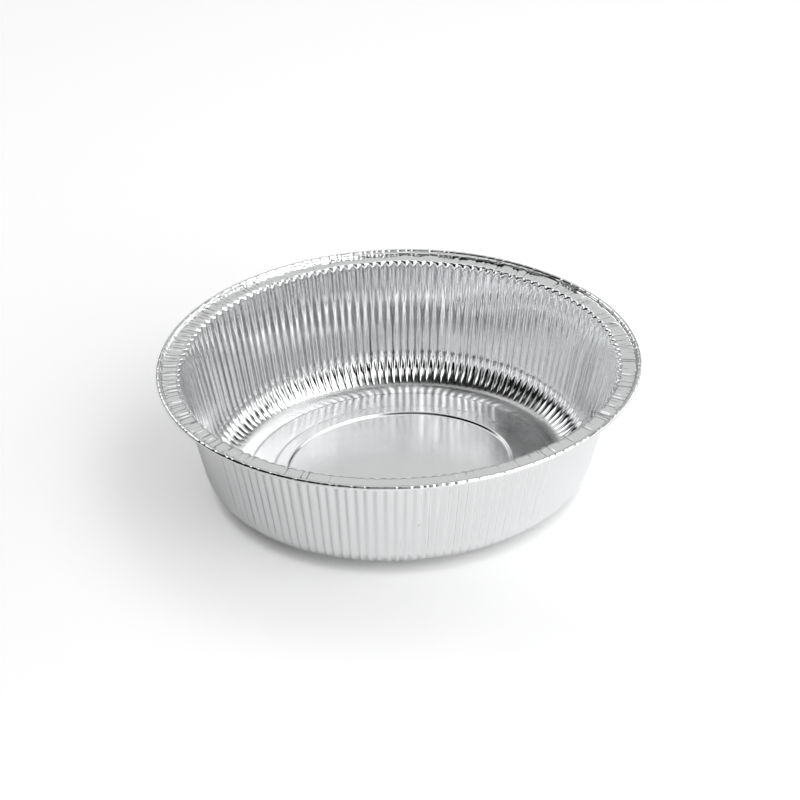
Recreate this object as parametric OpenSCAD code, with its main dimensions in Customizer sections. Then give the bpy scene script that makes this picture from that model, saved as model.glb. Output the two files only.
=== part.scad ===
// Oval foil tray pressed from one sheet. One section, from the rolled bead down
// the fluted wall to the middle of the floor, is swept round an oval.

/* [Outline] */
// Length over the bead
tray_length = 210; // [190:5:280]
// Width over the bead
tray_width = 183; // [170:1:240]
// Height from the table to the top of the bead
tray_height = 62; // [50:1:85]
// Thickness of the foil
foil_t = 0.1; // [0.08:0.01:0.2]

/* [Bead and flange] */
// Outside diameter of the rolled bead
bead_d = 2.2; // [1.8:0.1:3]
// Width of the slope from the bead down to the flange
bead_foot = 0.6; // [0.4:0.1:1.2]
// Drop from the top of the bead to the flange
flange_drop = 2.1; // [1.8:0.1:3]
// Width of the flange, from the bead to the bend into the wall
flange_w = 6.2; // [4:0.1:10]
// Reach of the bend from the flange into the wall
bend_w = 1; // [0.6:0.1:2]

/* [Wall] */
// Lean of the wall from upright, in degrees
wall_lean = 9.5; // [5:0.5:15]
// Radius of the bend from the wall into the floor
corner_r = 17.5; // [12:0.5:22]
// Number of flutes round the wall
flute_count = 140; // [100:2:144]
// Depth of a flute from crest to valley
flute_depth = 1.3; // [0.4:0.1:1.5]
// Height below the flange over which the flutes open out
flute_lead = 1.8; // [1:0.1:4]
// Place in the lower bend where the flutes have died out, in degrees up from the floor
flute_end_angle = 26; // [20:1:45]

/* [Floor] */
// Width of the flat ring that the tray stands on
foot_w = 1; // [0.6:0.1:3]
// Rise from the standing ring to the floor
floor_rise = 1.2; // [0.6:0.1:2.5]
// Run of each sloped step in the floor
step_run = 0.8; // [0.5:0.1:1.5]
// Width of the floor between the standing ring and the raised band
margin_w = 10.8; // [6:0.2:16]
// Width of the flat top of the raised band
band_w = 5.6; // [3:0.2:9]
// Rise of the band above the floor
band_rise = 0.9; // [0.4:0.1:2]

/* [Hidden] */

// Points to a flute: flat crests and valleys on the wall, sharp ones in the lower bend,
// and one where the flutes start and end
wall_points = 4;
bend_points = 2;
end_points = 1;
// The smooth foil has one side to this many flutes
flutes_to_side = 2;
smooth_points = 1 / flutes_to_side;
// The bead is rolled in steps, from its inner side over the top and round to its free edge
bead_step = 45;
bead_steps = 6;
// Part of the flute depth that is left half way down the lower bend
fade = 0.85;

half_l = tray_length / 2;
half_w = tray_width / 2;

// Heights of the middle of the foil
base_z = foil_t / 2;
floor_z = base_z + floor_rise;
flange_z = tray_height - flange_drop;
bead_z = tray_height - bead_d / 2;

// Distances in from the outline of the tray
bead_r = bead_d / 2 - foil_t / 2 / cos(bead_step / 2);
flange_o = bead_d + flange_w;
wall_o = flange_o + bend_w;
corner_top = 90 - wall_lean;
corner_top_z = base_z + corner_r * (1 - cos(corner_top));
corner_o = wall_o + (flange_z - corner_top_z) * tan(wall_lean) + corner_r * sin(corner_top);
foot_o = corner_o + foot_w;
floor_o = foot_o + step_run;
band_o = floor_o + margin_w + step_run;
centre_o = band_o + band_w + step_run;

// How far the top of the wall runs for each radian at its ends and at its sides
end_rate = half_w - wall_o * half_l / half_w;
side_rate = half_l - wall_o * half_w / half_l;
wall_round = PI * (side_rate + end_rate);
// Turns are moved by this much, in degrees, so that the flutes are evenly spaced
evening = 90 / PI * (side_rate - end_rate) / (side_rate + end_rate);
// The corners of a flute move sideways by this much from one face of the foil to its middle
flank_lean = atan(flute_depth * wall_points * flute_count / wall_round);
flank_shift = 360 * foil_t / 2 * tan(flank_lean / 2) / wall_round;

// A station of the section: distance in from the outline, height, flute depth, points to a flute
function bead_station(turn) =
    [bead_d / 2 + bead_r * cos(turn), bead_z + bead_r * sin(turn), 0, smooth_points];
function corner_station(turn, depth, points) =
    [corner_o - corner_r * sin(turn), base_z + corner_r * (1 - cos(turn)), depth, points];

section = [
    for (i = [bead_steps : -1 : 0]) bead_station(i * bead_step),
    [bead_d + bead_foot, flange_z, 0, smooth_points],
    [flange_o, flange_z, 0, end_points],
    [wall_o + flute_lead * tan(wall_lean), flange_z - flute_lead, flute_depth, wall_points],
    corner_station(corner_top, flute_depth, wall_points),
    corner_station((corner_top + flute_end_angle) / 2, flute_depth * fade, bend_points),
    corner_station(flute_end_angle, 0, end_points),
    corner_station(flute_end_angle / 2, 0, smooth_points),
    corner_station(0, 0, smooth_points),
    [foot_o, base_z, 0, smooth_points],
    [floor_o, floor_z, 0, smooth_points],
    [floor_o + margin_w, floor_z, 0, smooth_points],
    [band_o, floor_z + band_rise, 0, smooth_points],
    [band_o + band_w, floor_z + band_rise, 0, smooth_points],
    [centre_o, floor_z, 0, smooth_points]
];
last = len(section) - 1;

// Direction across the foil at a station, towards its under side, long enough for the
// foil to keep its thickness round a bend
function unit(v) = v / norm(v);
function across(i) =
    let (d = unit([section[i + 1].x - section[i].x, section[i + 1].y - section[i].y]))
    [d.y, -d.x];
function under(i) =
    let (before = across(max(i - 1, 0)), after = across(min(i, last - 1)))
    let (middle = unit(before + after))
    middle / (middle * after);

// Point of the outline at a turn, moved in by a distance and up to a height
function outline_point(turn, o, z) =
    let (q = turn + evening * sin(2 * turn))
    let (n = unit([cos(q) / half_l, sin(q) / half_w]))
    [half_l * cos(q) - o * n.x, half_w * sin(q) - o * n.y, z];

// Ring of points at a station, on the under side of the foil (face 1) or the upper side (face -1).
// A wall flute has its crest from point 0 to point 1, and its valley from point 2 to point 3.
function lag(points) = points == wall_points ? 0.5 : 0;
function crest_side(k, points) = k % points < points / 2 ? 1 : -1;
function widening(k, points) = points == wall_points ? crest_side(k + 3, points) : 0;
function ring(i, face) =
    let (s = section[i], depth = s[2], points = s[3], u = under(i))
    [
        for (k = [0 : points * flute_count - 1])
            let (push = face * foil_t / 2 + crest_side(k, points) * depth / 2)
            let (turn = 360 * (k - lag(points)) / points / flute_count)
            let (shift = face * flank_shift * widening(k, points))
            outline_point(turn + shift, s.x + u.x * push, s.y + u.y * push)
    ];

sides = [for (s = section) s[3] * flute_count];
function total(n) = n == 0 ? 0 : sides[n - 1] + total(n - 1);
skin_size = total(last + 1);

// Triangles between ring a and ring b, where a has at least as many points as b
function turned(faces) = [for (f = faces) [f[2], f[1], f[0]]];
function fan(first_a, count_a, first_b, count_b, late) =
    [
        for (k = [0 : count_a - 1])
            let (b = round((k + 0.5 - late) * count_b / count_a))
            let (next_b = round((k + 1.5 - late) * count_b / count_a))
            let (next_a = first_a + (k + 1) % count_a)
            each concat(
                [[first_a + k, next_a, first_b + b % count_b]],
                next_b == b ? [] : [[next_a, first_b + next_b % count_b, first_b + b % count_b]]
            )
    ];
function strip(i, first) =
    let (a = first + total(i), b = first + total(i + 1))
    sides[i] < sides[i + 1]
        ? turned(fan(b, sides[i + 1], a, sides[i], lag(section[i + 1][3])))
        : fan(a, sides[i], b, sides[i + 1], lag(section[i][3]) - lag(section[i + 1][3]));
function skin(first) = [for (i = [0 : last - 1]) each strip(i, first)];
function middle(first) = [for (k = [0 : sides[last] - 1]) first + total(last) + k];
function reversed(list) = [for (k = [len(list) - 1 : -1 : 0]) list[k]];

module foil_tray() {
    under_side = [for (i = [0 : last]) each ring(i, 1)];
    upper_side = [for (i = [0 : last]) each ring(i, -1)];
    free_edge = fan(skin_size, sides[0], 0, sides[0], 0);
    color("silver")
        polyhedron(
            points = concat(under_side, upper_side),
            faces = concat(
                skin(0),
                turned(skin(skin_size)),
                free_edge,
                [middle(0)],
                [reversed(middle(skin_size))]
            ),
            convexity = 6
        );
}

foil_tray();
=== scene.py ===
import math

import bpy
import numpy as np
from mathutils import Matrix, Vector


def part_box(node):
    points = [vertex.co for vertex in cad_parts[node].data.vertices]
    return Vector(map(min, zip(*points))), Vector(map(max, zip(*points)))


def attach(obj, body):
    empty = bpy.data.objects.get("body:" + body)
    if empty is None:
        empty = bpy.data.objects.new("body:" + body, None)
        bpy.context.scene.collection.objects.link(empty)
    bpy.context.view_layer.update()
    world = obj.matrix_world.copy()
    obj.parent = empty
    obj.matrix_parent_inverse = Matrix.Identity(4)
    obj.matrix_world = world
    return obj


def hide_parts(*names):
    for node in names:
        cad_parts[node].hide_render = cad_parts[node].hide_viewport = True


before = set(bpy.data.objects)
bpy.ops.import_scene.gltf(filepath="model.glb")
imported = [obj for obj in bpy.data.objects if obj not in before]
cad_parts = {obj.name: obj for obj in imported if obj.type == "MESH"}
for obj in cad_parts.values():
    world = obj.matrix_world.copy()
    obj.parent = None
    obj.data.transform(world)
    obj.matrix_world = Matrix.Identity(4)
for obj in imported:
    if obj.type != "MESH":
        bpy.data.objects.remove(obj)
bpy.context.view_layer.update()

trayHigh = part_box("foil_tray")[1]
mm = 0.001

# The foil tray: one section swept round the oval, then fluted, creased and pinched.
# Lengths are in metres, angles in degrees.
foilTray = {
    "foil": 0.1 * mm,
    "beadWidth": 2.2 * mm,
    "beadTurns": (300, 255, 210, 170, 135, 105, 75, 45, 20, 0),  # the edge is rolled round to the first
    "beadFoot": 0.7 * mm,  # radius between bead and flange
    "beadFootTurns": (30, 60, 90),
    "flangeDrop": 2.1 * mm,
    "flangeEdge": 8.4 * mm,  # inner edge of the flange, in from the outline
    "flangeRows": (0.3, 0.62, 0.9),  # of its width
    "bendReach": 1.0 * mm,
    # Rows of the bend: how far in and down, of its reach, then flute depth, crease and fold
    "bendRows": ((0.35, 0.12, 0.05, 0.6, 0), (0.75, 0.45, 0.5, 0.2, 0.2), (1.05, 1, 1.1, 0, 0.7)),
    "wallLean": 9.5,
    "wallRows": 11,
    "wallCrowding": 1.3,  # above 1 the rows stand closer at the top
    "cornerRadius": 17.5 * mm,
    "fluteLead": 1.8 * mm,
    "headGain": 1.3,  # of the flute depth, right under the flange
    "headShare": 0.2,  # of the wall, down to where that gain ends
    "fluteFadeFrom": 66,  # degrees up the lower bend
    "fluteFadeTo": 23,
    "fluteFadeCurve": 0.85,
    "cornerTurns": (72, 65, 58, 51, 45, 39, 34, 28),  # rows of the lower bend with flutes
    "smoothTurns": (16, 8, 0),  # and without
    "footWidth": 1.0 * mm,
    "floorRise": 1.2 * mm,
    "stepRun": 0.8 * mm,
    "stepEdge": 0.12 * mm,
    "stepRounding": 0.15,  # of its rise
    "innerRun": 0.5 * mm,  # of the innermost step
    "marginWidth": 10.8 * mm,
    "marginRows": (0.06, 0.35, 0.65, 0.94),
    "bandWidth": 5.6 * mm,
    "bandRise": 0.9 * mm,
    "bandRows": (0.1, 0.5, 0.88),
    "floorRings": (0.7 * mm, 3 * mm, 8 * mm, 14 * mm, 20 * mm),  # in from the raised band
    "middleRings": (0.6, 0.4, 0),  # each of the size of the one before
}

flutes = {
    "count": 140,
    "depth": 1.0 * mm,
    "columns": 8,  # columns of points to a flute
    "floorColumns": 1,
    "flatness": 0.4,  # of crests and valleys on the wall
    "pointedness": 2.8,  # of the inner ridges where they end
    "unevenSpacing": 0.08,  # of the pitch
    "unevenDepth": 0.10,
    "unevenSkew": 0.05,
    "changes": 4,  # times that depth and skew change down a flute
    "ripple": 0.002 * mm,
    "foldedColumns": 0.014,  # share of the columns that a small fold runs down
    "foldDepth": 0.16 * mm,
    "foldSizes": (0.4, 1),  # of that depth
    "seed": 7,
}

creases = {
    "depth": 0.24 * mm,
    "sizes": (0.25, 1),  # of that depth
    "panelRise": 0.10 * mm,  # how far the foil between two creases lies out of flat
    "gap": (3, 12),  # columns from one crease to the next
    "denseGap": (2, 5),
    "denseSide": 168,  # where the creases are close together, round from +X
    "denseWidth": 50,
    "pinchDepth": 0.30 * mm,
    "pinchSizes": (0.3, 1),  # of that depth
    "pinchSpread": (0, 0.8),  # of a pinch, in the next column
    "pinchGap": (4, 12),
    "rimWave": 0.22 * mm,
    "rimWaveCounts": (2, 3, 5),  # waves round the rim
    "rimReach": 0.7,  # of the height, down to where the rim's waves and bends die out
    "floorWave": 0.025 * mm,
    "floorWaveLengths": (17 * mm, 23 * mm, 31 * mm, 44 * mm),
    # Where the rim is bent out of true: place round from +X, width, distance outwards
    "rimBends": ((34, 22, -1.1 * mm), (-24, 20, 0.4 * mm)),
    "seed": 11,
}


def smoothStep(low, high, x):
    t = np.clip((x - low) / (high - low), 0, 1)
    return t * t * (3 - 2 * t)


def traySection(v, top):
    # Stations from the free edge of the bead to the middle of the floor. Each has its inset
    # and height, how far its flutes stand out, and its shares of fold, crease, pinch and wave.
    # Rows that aren't fine have fewer points
    rows = []

    def add(inset, height, **shares):
        rows.append({"inset": inset, "height": height, **shares})

    beadRadius = v["beadWidth"] / 2
    rollRadius = beadRadius - v["foil"] / 2
    flange = top - v["flangeDrop"]
    for turn in v["beadTurns"]:
        t = math.radians(turn)
        add(beadRadius + rollRadius * math.cos(t), top - beadRadius + rollRadius * math.sin(t), pinch=1)
    foot = v["beadFoot"]
    footStart = beadRadius + rollRadius
    for turn in v["beadFootTurns"]:
        t = math.radians(turn)
        add(footStart + foot * (1 - math.cos(t)), flange + foot * (1 - math.sin(t)),
            outerCrease=1, pinch=0.4)
    flangeStart = footStart + foot
    for share in v["flangeRows"]:
        add(flangeStart + (v["flangeEdge"] - flangeStart) * share, flange, crease=1)
    bend = v["bendReach"]
    for inwards, down, gain, crease, fold in v["bendRows"]:
        add(v["flangeEdge"] + inwards * bend, flange - down * bend,
            flute=1, gain=gain, crease=crease, fold=fold)
    wallInset = v["flangeEdge"] + bend

    cornerRadius = v["cornerRadius"]
    cornerTop = 90 - v["wallLean"]
    floorLine = v["foil"] / 2
    cornerHeight = floorLine + cornerRadius * (1 - math.cos(math.radians(cornerTop)))
    wallTop = flange - v["fluteLead"]
    slope = math.tan(math.radians(v["wallLean"]))
    for share in np.linspace(0, 1, v["wallRows"], endpoint=False) ** v["wallCrowding"]:
        height = wallTop + (cornerHeight - wallTop) * share
        gain = 1 + (v["headGain"] - 1) * max(0, 1 - share / v["headShare"])
        add(wallInset + (flange - height) * slope, height, flute=1, gain=gain, fold=1)
    cornerStart = wallInset + (flange - cornerHeight) * slope
    cornerEnd = cornerStart + cornerRadius * math.sin(math.radians(cornerTop))
    fadeFrom, fadeTo = v["fluteFadeFrom"], v["fluteFadeTo"]
    for turn in (cornerTop, *v["cornerTurns"], fadeTo, *v["smoothTurns"]):
        t = math.radians(turn)
        flute = float(np.clip((turn - fadeTo) / (fadeFrom - fadeTo), 0, 1)) ** v["fluteFadeCurve"]
        add(cornerEnd - cornerRadius * math.sin(t), floorLine + cornerRadius * (1 - math.cos(t)),
            flute=flute, fold=flute, fine=turn >= fadeTo)
    footEnd = cornerEnd + v["footWidth"]

    def step(inset, run, low, high):
        # Two rows close together at each end keep the foil flat up to the step
        edge = v["stepEdge"]
        rounding = (high - low) * v["stepRounding"]
        for away, height in ((-edge, low), (edge, low + rounding),
                             (run - edge, high - rounding), (run + edge, high)):
            add(inset + away, height, wave=0.5, fine=False)

    floor = floorLine + v["floorRise"]
    band = floor + v["bandRise"]
    step(footEnd, v["stepRun"], floorLine, floor)
    marginEnd = footEnd + v["stepRun"] + v["marginWidth"]
    for share in v["marginRows"]:
        add(marginEnd - v["marginWidth"] * (1 - share), floor, wave=1, fine=False)
    step(marginEnd, v["stepRun"], floor, band)
    bandEnd = marginEnd + v["stepRun"] + v["bandWidth"]
    for share in v["bandRows"]:
        add(bandEnd - v["bandWidth"] * (1 - share), band, wave=0.7, fine=False)
    step(bandEnd, v["innerRun"], band, floor)
    for inset in v["floorRings"]:
        add(bandEnd + v["stepRun"] + inset, floor, wave=1, fine=False)
    return rows


def sectionNormals(rows):
    # Across the foil in the section, towards its under side
    places = np.array([(row["inset"], row["height"]) for row in rows])
    along = np.diff(places, axis=0)
    along /= np.linalg.norm(along, axis=1)[:, None]
    middle = np.vstack([along[:1], along]) + np.vstack([along, along[-1:]])
    middle /= np.linalg.norm(middle, axis=1)[:, None]
    return np.stack([middle[:, 1], -middle[:, 0]], axis=1)


def roundWaves(rng, turns, counts):
    # Smooth noise round the oval, from sine waves that each go round a whole number of times
    waves = [rng.normal() * np.cos(n * turns + rng.uniform(0, 2 * math.pi)) for n in counts]
    return sum(waves) / math.sqrt(len(counts))


def fluteColumns(v):
    # Where each column of points stands round the oval, and the small folds at it
    rng = np.random.default_rng(v["seed"])
    total = v["count"] * v["columns"]
    edges = np.arange(v["count"]) + rng.uniform(-1, 1, v["count"]) * v["unevenSpacing"]
    edges = np.append(edges, edges[0] + v["count"])
    share = np.arange(total) % v["columns"] / v["columns"]
    number = np.arange(total) // v["columns"]
    turns = (edges[number] + (edges[number + 1] - edges[number]) * share) / v["count"] * 2 * math.pi
    folded = np.where(rng.random(total) < v["foldedColumns"], rng.uniform(*v["foldSizes"], total), 0)
    folds = rng.normal(size=total) * v["ripple"] - folded * v["foldDepth"]
    return turns, folds


def fluteWave(v, share, number, level, changes):
    # How far a flute pushes the foil out at each column. level is 1 on the wall, where crests
    # and valleys are flat. As it falls, the inner ridge narrows to a point in the smooth foil
    depth, skew = changes
    turn = 2 * math.pi * (share + skew[number] * np.sin(math.pi * share) ** 2)
    flatTopped = 0.5 - 0.5 * np.tanh(v["flatness"] * np.cos(turn)) / math.tanh(v["flatness"])
    pointed = (0.5 - 0.5 * np.cos(turn)) ** v["pointedness"]
    ridge = pointed + (flatTopped - pointed) * level
    return (0.5 * level - np.maximum(ridge - 1 + level, 0)) * depth[number] * v["depth"]


def creaseColumns(v, turns, rng):
    # Creases across the flange, close together on one side: the rise of the foil at each column
    total = len(turns)
    columns = []
    column = int(rng.integers(0, 4))
    while column < total:
        columns.append(column)
        away = abs((math.degrees(turns[column]) - v["denseSide"] + 180) % 360 - 180)
        low, high = v["denseGap"] if away < v["denseWidth"] else v["gap"]
        column += int(rng.integers(low, high))
    columns = np.array(columns)
    panels = rng.normal(size=len(columns)) * v["panelRise"]
    heights = np.interp(np.arange(total), np.append(columns, total), np.append(panels, panels[0]))
    heights[columns] += v["depth"] * rng.uniform(*v["sizes"], len(columns))
    return heights


def pinchColumns(v, total, rng):
    # Short pinches in the bead
    pinches = np.zeros(total)
    column = 0
    while column < total:
        depth = rng.uniform(*v["pinchSizes"]) * v["pinchDepth"]
        pinches[column] += depth
        pinches[(column + 1) % total] += depth * rng.uniform(*v["pinchSpread"])
        column += int(rng.integers(*v["pinchGap"]))
    return pinches


def ovalPoints(v, turns, inset, height):
    # The outline moved in by inset, with the turns spread evenly round the wall
    halfLength, halfWidth = trayHigh[0], trayHigh[1]
    wall = v["flangeEdge"] + v["bendReach"]
    endRate = halfWidth - wall * halfLength / halfWidth
    sideRate = halfLength - wall * halfWidth / halfLength
    q = turns + (sideRate - endRate) / (sideRate + endRate) / 2 * np.sin(2 * turns)
    out = np.stack([np.cos(q) / halfLength, np.sin(q) / halfWidth])
    out /= np.linalg.norm(out, axis=0)
    along, across = np.stack([halfLength * np.cos(q), halfWidth * np.sin(q)]) - inset * out
    return np.stack([along, across, height], axis=1)


def floorWaves(v, rng):
    # Low waves in the floor, the same at one place whatever ring it is on
    waves = [(length, rng.uniform(0, math.pi), rng.uniform(0, 2 * math.pi))
             for length in v["floorWaveLengths"]]

    def rise(points):
        total = np.zeros(len(points))
        for length, heading, phase in waves:
            along = points[:, 0] * math.cos(heading) + points[:, 1] * math.sin(heading)
            total += v["floorWave"] * length / waves[0][0] * np.sin(2 * math.pi * along / length + phase)
        return total / math.sqrt(len(waves))
    return rise


def stripFaces(start, count, nextStart, nextCount):
    # Faces between two rings, where the second may have fewer points
    faces = []
    step = count // nextCount
    for k in range(nextCount):
        fine = [start + (k * step + s) % count for s in range(step + 1)]
        near, far = nextStart + k, nextStart + (k + 1) % nextCount
        if step == 1:
            faces.append((fine[0], near, far, fine[1]))
            continue
        middle = step // 2
        faces += [(fine[s], near, fine[s + 1]) for s in range(middle)]
        faces.append((fine[middle], near, far))
        faces += [(fine[s], far, fine[s + 1]) for s in range(middle, step)]
    return faces


def acrossFoil(points, faces):
    # Direction across the foil at each point, from the faces round it
    across = np.zeros_like(points)
    for size in (3, 4):
        some = np.array([f for f in faces if len(f) == size])
        lean = np.cross(points[some[:, 2]] - points[some[:, 0]], points[some[:, -1]] - points[some[:, 1]])
        for corner in range(size):
            np.add.at(across, some[:, corner], lean)
    return across / np.linalg.norm(across, axis=1)[:, None]


def buildTray(v, f, c):
    rows = traySection(v, trayHigh[2])
    normals = sectionNormals(rows)
    turns, folds = fluteColumns(f)
    total = len(turns)
    share = np.arange(total) % f["columns"] / f["columns"]
    number = np.arange(total) // f["columns"]
    rng = np.random.default_rng(c["seed"])
    creaseRise = creaseColumns(c, turns, rng)
    outerRise = creaseColumns(c, turns, rng)
    pinches = pinchColumns(c, total, rng)
    rimWave = roundWaves(rng, turns, c["rimWaveCounts"]) * c["rimWave"]
    floorRise = floorWaves(c, rng)
    rimBend = np.zeros(total)
    for place, width, distance in c["rimBends"]:
        away = (np.degrees(turns) - place + 180) % 360 - 180
        rimBend += distance * np.exp(-(away / width) ** 2)
    depths = 1 + rng.normal(size=(f["changes"], f["count"])) * f["unevenDepth"]
    skews = rng.normal(size=(f["changes"], f["count"])) * f["unevenSkew"]

    rings, counts = [], []
    for row, normal in zip(rows, normals):
        every = 1 if row.get("fine", True) else f["columns"] // f["floorColumns"]
        down = 1 - row["height"] / trayHigh[2]
        # Depth and skew at this height, between the two nearest of their changes
        stage = min(down * (f["changes"] - 1), f["changes"] - 1.001)
        part = stage % 1
        changes = [a[int(stage)] * (1 - part) + a[int(stage) + 1] * part for a in (depths, skews)]
        push = fluteWave(f, share, number, row.get("flute", 0), changes) * row.get("gain", 1)
        push = push + row.get("fold", 0) * folds + row.get("crease", 0) * creaseRise
        push = push + row.get("outerCrease", 0) * outerRise + row.get("pinch", 0) * pinches
        push = push[::every]
        upper = smoothStep(c["rimReach"], 0, down)
        lift = (rimWave * upper)[::every]
        bent = (rimBend * upper)[::every]
        height = row["height"] + normal[1] * push + lift
        ring = ovalPoints(v, turns[::every], row["inset"] + normal[0] * push - bent, height)
        ring[:, 2] += row.get("wave", 0) * floorRise(ring)
        rings.append(ring)
        counts.append(len(ring))
    # The middle of the floor: smaller rings down to one point
    for scale in v["middleRings"]:
        ring = rings[-1] * (scale, scale, 0) + (0, 0, rows[-1]["height"])
        ring = ring if scale else ring[:1]
        ring[:, 2] += floorRise(ring)
        rings.append(ring)
        counts.append(len(ring))
    points = np.vstack(rings)

    starts = np.cumsum([0] + counts).tolist()
    faces = []
    for i in range(len(counts) - 2):
        faces += stripFaces(starts[i], counts[i], starts[i + 1], counts[i + 1])
    last, middle = starts[-3:-1]
    faces += [(last + k, middle, last + (k + 1) % counts[-2]) for k in range(counts[-2])]

    # The foil's two faces lie half its thickness from the middle, joined along the free edge
    across = acrossFoil(points, faces) * v["foil"] / 2
    shift = len(points)
    shell = faces + [tuple(shift + k for k in reversed(face)) for face in faces]
    shell += [(k, (k + 1) % counts[0], shift + (k + 1) % counts[0], shift + k) for k in range(counts[0])]
    mesh = bpy.data.meshes.new("pressedFoil")
    mesh.from_pydata(np.vstack([points + across, points - across]).tolist(), [], shell)
    mesh.polygons.foreach_set("use_smooth", [True] * len(mesh.polygons))
    mesh.update()
    piece = bpy.data.objects.new("pressedFoil", mesh)
    bpy.context.collection.objects.link(piece)
    print("tray built:", sum(len(p.vertices) - 2 for p in mesh.polygons), "triangles")
    return piece


# The finish of the foil. Sizes of its noise are counts to the metre
brightFoil = {
    "colour": (0.81, 0.815, 0.82, 1),
    "smoothest": 0.035,
    "roughest": 0.07,
    "floorRoughness": 0.12,  # added on the floor
    "floorTop": 3 * mm,
    "mottleSize": 160,
    "mottleRange": (0.3, 0.7),
    "grainSize": 900,
    "grainStretch": (1, 0.06, 1),  # rolling marks run across the tray
    "grainHeight": 0.0008 * mm,
    "crinkleSize": 420,
    "crinkleHeight": 0.001 * mm,
    # The far wall is crumpled in spots, over a band of heights and up to the right side
    "crumpleSize": 330,
    "crumpleStretch": (1, 1, 2.4),
    "crumpleHeight": 0.05 * mm,
    "crumpleBand": (18 * mm, 44 * mm),
    "crumpleAcross": (20 * mm, 45 * mm),
    "crumpleAlong": (40 * mm, 15 * mm),
    "crumpleSpots": 40,
    "spotRange": (0.5, 0.66),
    "dentPlace": (-6.4 * mm, -76.9 * mm, 30 * mm),
    "dentSize": 1.1 * mm,
    "dentHeight": 0.25 * mm,
}


def maths(tree, operation, *values):
    # A maths node on numbers or on the results of other nodes
    made = tree.nodes.new("ShaderNodeMath")
    made.operation = operation
    for socket, value in zip(made.inputs, values):
        if isinstance(value, (int, float)):
            socket.default_value = value
        else:
            tree.links.new(value, socket)
    return made.outputs["Value"]


def blend(tree, value, start, end, low=0, high=1):
    # Goes smoothly from low to high as the value goes from start to end
    made = tree.nodes.new("ShaderNodeMapRange")
    made.interpolation_type = "SMOOTHSTEP"
    tree.links.new(value, made.inputs["Value"])
    for name, number in (("From Min", start), ("From Max", end), ("To Min", low), ("To Max", high)):
        made.inputs[name].default_value = number
    return made.outputs["Result"]


def noise(tree, place, scale, detail, stretch=(1, 1, 1)):
    mapping = tree.nodes.new("ShaderNodeMapping")
    mapping.inputs["Scale"].default_value = stretch
    tree.links.new(place, mapping.inputs["Vector"])
    made = tree.nodes.new("ShaderNodeTexNoise")
    made.inputs["Scale"].default_value = scale
    made.inputs["Detail"].default_value = detail
    tree.links.new(mapping.outputs["Vector"], made.inputs["Vector"])
    return made.outputs["Fac"]


def bump(tree, height, distance, normal=None):
    made = tree.nodes.new("ShaderNodeBump")
    made.inputs["Distance"].default_value = distance
    tree.links.new(height, made.inputs["Height"])
    if normal:
        tree.links.new(normal, made.inputs["Normal"])
    return made.outputs["Normal"]


def foilMaterial(v):
    material = bpy.data.materials.new("brightFoil")
    material.use_nodes = True
    tree = material.node_tree
    shader = tree.nodes["Principled BSDF"]
    shader.inputs["Metallic"].default_value = 1
    shader.inputs["Base Color"].default_value = v["colour"]
    link = tree.links.new
    place = tree.nodes.new("ShaderNodeTexCoord").outputs["Object"]
    parts = tree.nodes.new("ShaderNodeSeparateXYZ")
    link(place, parts.inputs["Vector"])
    along, across, up = parts.outputs

    mottle = noise(tree, place, v["mottleSize"], detail=3)
    mottle = blend(tree, mottle, *v["mottleRange"], v["smoothest"], v["roughest"])
    onFloor = blend(tree, up, 2 * v["floorTop"], v["floorTop"], 0, v["floorRoughness"])
    link(maths(tree, "ADD", mottle, onFloor), shader.inputs["Roughness"])

    grain = noise(tree, place, v["grainSize"], detail=2, stretch=v["grainStretch"])
    normal = bump(tree, grain, v["grainHeight"])
    crinkle = noise(tree, place, v["crinkleSize"], detail=4)
    normal = bump(tree, crinkle, v["crinkleHeight"], normal)
    low, high = v["crumpleBand"]
    edge = (high - low) / 4
    band = maths(tree, "MULTIPLY", blend(tree, up, low, low + edge), blend(tree, up, high, high - edge))
    band = maths(tree, "MULTIPLY", band, blend(tree, across, *v["crumpleAcross"]))
    band = maths(tree, "MULTIPLY", band, blend(tree, along, *v["crumpleAlong"]))
    spots = blend(tree, noise(tree, place, v["crumpleSpots"], detail=2), *v["spotRange"])
    crumple = noise(tree, place, v["crumpleSize"], detail=2, stretch=v["crumpleStretch"])
    crumple = maths(tree, "MULTIPLY", maths(tree, "MULTIPLY", crumple, spots), band)
    normal = bump(tree, crumple, v["crumpleHeight"], normal)
    away = tree.nodes.new("ShaderNodeVectorMath")
    away.operation = "DISTANCE"
    away.inputs[1].default_value = v["dentPlace"]
    link(place, away.inputs[0])
    dent = blend(tree, away.outputs["Value"], 0, v["dentSize"])
    link(bump(tree, dent, v["dentHeight"], normal), shader.inputs["Normal"])
    print("foil finished")
    return material


studio = {
    "floorSize": 6.0,
    "floorColour": (0.95, 0.95, 0.95, 1),
    "floorRoughness": 0.9,
    "floorSheen": 0.1,
    "floorShown": 0.27,  # glow of the floor in the picture
    "floorMirrored": 0.24,  # and in the foil, at most
    "glowReach": (-95 * mm, 0),  # where that glow starts and is full, to the right of the middle
    "contactReach": 6 * mm,  # how far from the foil the floor's glow is dimmed
    "contactDarkness": 3,
    "contactSamples": 4,
    "dim": 0.01,  # level between the softboxes
    # Azimuth to the right of the camera's forward, elevation, half width, half height, level
    "softboxes": {
        "mainRight": (122, 31, 30, 21, 1.5),
        "sideRight": (66, 20, 26, 10, 2.2),
        "highFront": (150, 65, 26, 11, 0.8),
        "topBack": (0, 63, 20, 11, 1.0),
        "back": (4, 40, 26, 14, 0.7),
        "lowBack": (0, 10, 40, 12, 0.42),
        "backLeft": (-55, 36, 22, 16, 1.85),
        "frontCard": (180, 12, 50, 9, 1.1),
        "rightCard": (128, 14, 26, 9, 1.5),
    },
    "softEdge": 0.35,
    "keySize": 0.5,
    "keyDistance": 1.1,
    "keys": {"keyRight": (70, 65, 1.9), "keyFront": (130, 55, 1.3)},  # azimuth, elevation, power
}

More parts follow.
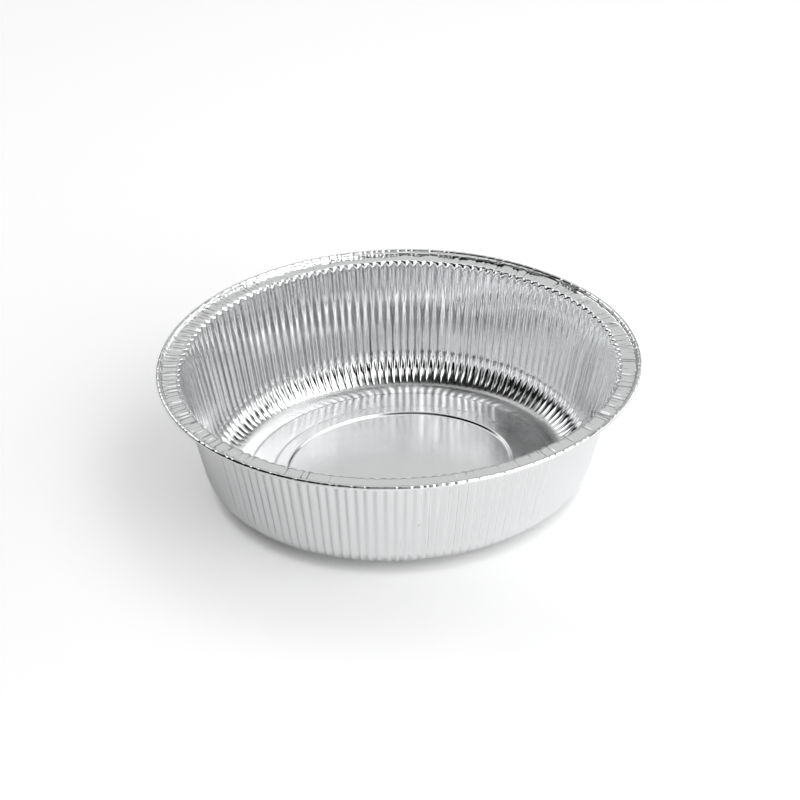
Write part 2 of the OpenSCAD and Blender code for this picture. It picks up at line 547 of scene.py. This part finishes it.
view = {
    "elevation": 35.79726,
    "turn": 10.55388,  # how far the tray's long axis is turned in the picture
    "distance": 0.6269,
    "targetHeight": 0.0372,
    "lens": 63.59,
    "sensor": 36,
    "clipStart": 0.01,
}


def viewDirection(azimuth, elevation):
    # A direction by its azimuth, to the right of the camera's forward, and its elevation
    a = math.radians(azimuth + view["turn"])
    e = math.radians(elevation)
    return Vector((math.cos(e) * math.sin(a), math.cos(e) * math.cos(a), math.sin(e)))


def makeCamera(v):
    data = bpy.data.cameras.new("camera")
    camera = bpy.data.objects.new("camera", data)
    bpy.context.collection.objects.link(camera)
    target = Vector((0, 0, v["targetHeight"]))
    forward = viewDirection(0, -v["elevation"])
    camera.location = target - forward * v["distance"]
    camera.rotation_euler = forward.to_track_quat("-Z", "Y").to_euler()
    data.lens = v["lens"]
    data.sensor_width = v["sensor"]
    data.clip_start = v["clipStart"]
    bpy.context.scene.camera = camera
    print("camera placed")


def makeFloor(v):
    half = v["floorSize"] / 2
    mesh = bpy.data.meshes.new("floor")
    corners = [(-half, -half, 0), (half, -half, 0), (half, half, 0), (-half, half, 0)]
    mesh.from_pydata(corners, [], [(0, 1, 2, 3)])
    floor = bpy.data.objects.new("floor", mesh)
    bpy.context.collection.objects.link(floor)
    material = bpy.data.materials.new("paleFloor")
    material.use_nodes = True
    tree = material.node_tree
    link = tree.links.new
    shader = tree.nodes["Principled BSDF"]
    shader.inputs["Base Color"].default_value = v["floorColour"]
    shader.inputs["Roughness"].default_value = v["floorRoughness"]
    shader.inputs["Specular IOR Level"].default_value = v["floorSheen"]
    path = tree.nodes.new("ShaderNodeLightPath")
    shown = maths(tree, "MULTIPLY", path.outputs["Is Camera Ray"], v["floorShown"])
    # In the foil the floor's glow grows towards the right, where the lamps are
    rightwards = tree.nodes.new("ShaderNodeVectorMath")
    rightwards.operation = "DOT_PRODUCT"
    rightwards.inputs[1].default_value = viewDirection(90, 0)
    link(tree.nodes.new("ShaderNodeTexCoord").outputs["Object"], rightwards.inputs[0])
    mirrored = blend(tree, rightwards.outputs["Value"], *v["glowReach"], 0, v["floorMirrored"])
    glow = maths(tree, "MULTIPLY_ADD", path.outputs["Is Glossy Ray"], mirrored, shown)
    # The glow dims close to the foil, which leaves the foot its contact shadow
    nearby = tree.nodes.new("ShaderNodeAmbientOcclusion")
    nearby.samples = v["contactSamples"]
    nearby.inputs["Distance"].default_value = v["contactReach"]
    uncovered = maths(tree, "POWER", nearby.outputs["AO"], v["contactDarkness"])
    shader.inputs["Emission Color"].default_value = (1, 1, 1, 1)
    link(maths(tree, "MULTIPLY", glow, uncovered), shader.inputs["Emission Strength"])
    mesh.materials.append(material)
    print("floor laid")


def makeWorld(v):
    world = bpy.data.worlds.new("studio")
    bpy.context.scene.world = world
    world.use_nodes = True
    tree = world.node_tree
    link = tree.links.new
    background = tree.nodes["Background"]
    place = tree.nodes.new("ShaderNodeTexCoord").outputs["Generated"]
    total = v["dim"]
    for azimuth, elevation, halfWidth, halfHeight, level in v["softboxes"].values():
        # The direction is turned into the softbox's own frame and measured in its half sizes
        towards = viewDirection(azimuth, elevation)
        width, height = (math.sin(math.radians(half)) for half in (halfWidth, halfHeight))
        turned = tree.nodes.new("ShaderNodeMapping")
        turned.vector_type = "TEXTURE"
        turned.inputs["Rotation"].default_value = towards.to_track_quat("Y", "Z").to_euler()
        turned.inputs["Scale"].default_value = (width, 1, height)
        link(place, turned.inputs["Vector"])
        parts = tree.nodes.new("ShaderNodeSeparateXYZ")
        link(turned.outputs["Vector"], parts.inputs["Vector"])
        right, ahead, up = parts.outputs
        away = maths(tree, "MULTIPLY_ADD", right, right, maths(tree, "MULTIPLY", up, up))
        lit = blend(tree, away, (1 + v["softEdge"]) ** 2, (1 - v["softEdge"]) ** 2, 0, level)
        total = maths(tree, "MULTIPLY_ADD", lit, maths(tree, "GREATER_THAN", ahead, 0), total)
    # The picture's background is white
    path = tree.nodes.new("ShaderNodeLightPath")
    link(maths(tree, "MAXIMUM", total, path.outputs["Is Camera Ray"]), background.inputs["Strength"])
    background.inputs["Color"].default_value = (1, 1, 1, 1)
    print("world lit")


def makeKeys(v):
    for name, (azimuth, elevation, power) in v["keys"].items():
        data = bpy.data.lights.new(name, "AREA")
        data.energy = power
        data.size = v["keySize"]
        key = bpy.data.objects.new(name, data)
        bpy.context.collection.objects.link(key)
        towards = viewDirection(azimuth, elevation)
        key.location = towards * v["keyDistance"]
        key.rotation_euler = (-towards).to_track_quat("-Z", "Y").to_euler()
        key.visible_camera = False
    print("key lamps hung")


tray = buildTray(foilTray, flutes, creases)
tray.data.materials.append(foilMaterial(brightFoil))
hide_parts("foil_tray")
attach(tray, "root")

makeCamera(view)
makeFloor(studio)
makeWorld(studio)
makeKeys(studio)
bpy.context.scene.view_settings.view_transform = "Standard"
